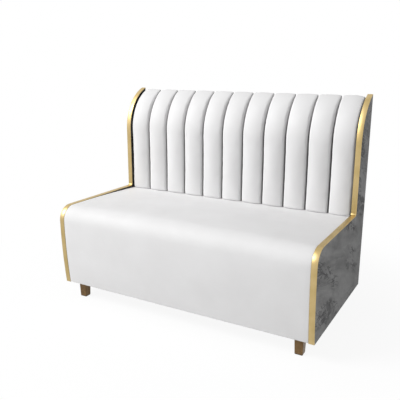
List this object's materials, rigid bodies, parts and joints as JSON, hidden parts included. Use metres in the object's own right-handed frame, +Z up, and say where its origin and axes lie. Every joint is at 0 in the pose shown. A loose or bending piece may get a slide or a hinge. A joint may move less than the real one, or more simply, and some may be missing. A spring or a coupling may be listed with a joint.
{
  "type": "upholstered restaurant bench",
  "caption": "Upholstered booth bench with a waterfall seat and a channelled back that rolls backwards, between marble-look side panels with gold metal edge trim, on short square legs.",
  "frame": {"origin": "on the floor, under the middle of the bench's box", "axes": "+X along the bench to the right of a person who looks at its front, +Y to the rear, +Z up"},
  "size_m": [1.2, 0.66, 0.94],
  "materials": {
    "white_leather": "smooth synthetic leather, soft sheen",
    "gold_trim": "gold-coloured sheet metal, satin polish",
    "marble_sheet": "grey marble-look sheet, satin",
    "edging": "dark grey edge band",
    "board": "plain board",
    "plywood": "birch plywood",
    "timber": "planed pine",
    "foam": "seat foam",
    "webbing": "elastic webbing",
    "dust_cloth": "black non-woven cloth",
    "bronze_leg": "bronze-coloured metal, satin",
    "glide": "black plastic",
    "zinc_screw": "zinc-plated steel"
  },
  "bodies": {
    "root": {"back_board": "board", "back_channel_01": "white_leather", "back_channel_02": "white_leather", "back_channel_03": "white_leather", "back_channel_04": "white_leather", "back_channel_05": "white_leather", "back_channel_06": "white_leather", "back_channel_07": "white_leather", "back_channel_08": "white_leather", "back_channel_09": "white_leather", "back_channel_10": "white_leather", "back_channel_11": "white_leather", "back_middle_rail": "timber", "back_top_rail": "timber", "cross_strap_1": "webbing", "cross_strap_2": "webbing", "cross_strap_3": "webbing", "cross_strap_4": "webbing", "cross_strap_5": "webbing", "cross_strap_6": "webbing", "dust_cloth": "dust_cloth", "fascia_board": "board", "former_1": "plywood", "former_2": "plywood", "former_3": "plywood", "former_4": "plywood", "front_bottom_rail": "timber", "front_foam": "foam", "front_seat_rail": "timber", "glide_front_left": "glide", "glide_front_right": "glide", "glide_rear_left": "glide", "glide_rear_right": "glide", "left_edge_trim": "gold_trim", "left_inner_facing": "marble_sheet", "left_outer_facing": "marble_sheet", "left_panel_core": "board", "left_rear_edging": "edging", "leg_front_left": "bronze_leg", "leg_front_right": "bronze_leg", "leg_rear_left": "bronze_leg", "leg_rear_right": "bronze_leg", "leg_screws": "zinc_screw", "long_strap_1": "webbing", "long_strap_2": "webbing", "panel_screws": "zinc_screw", "rear_bottom_rail": "timber", "rear_panel_board": "board", "rear_panel_cover": "white_leather", "rear_seat_rail": "timber", "right_edge_trim": "gold_trim", "right_inner_facing": "marble_sheet", "right_outer_facing": "marble_sheet", "right_panel_core": "board", "right_rear_edging": "edging", "seat_cover": "white_leather", "seat_foam": "foam"}
  },
  "joints": []
}
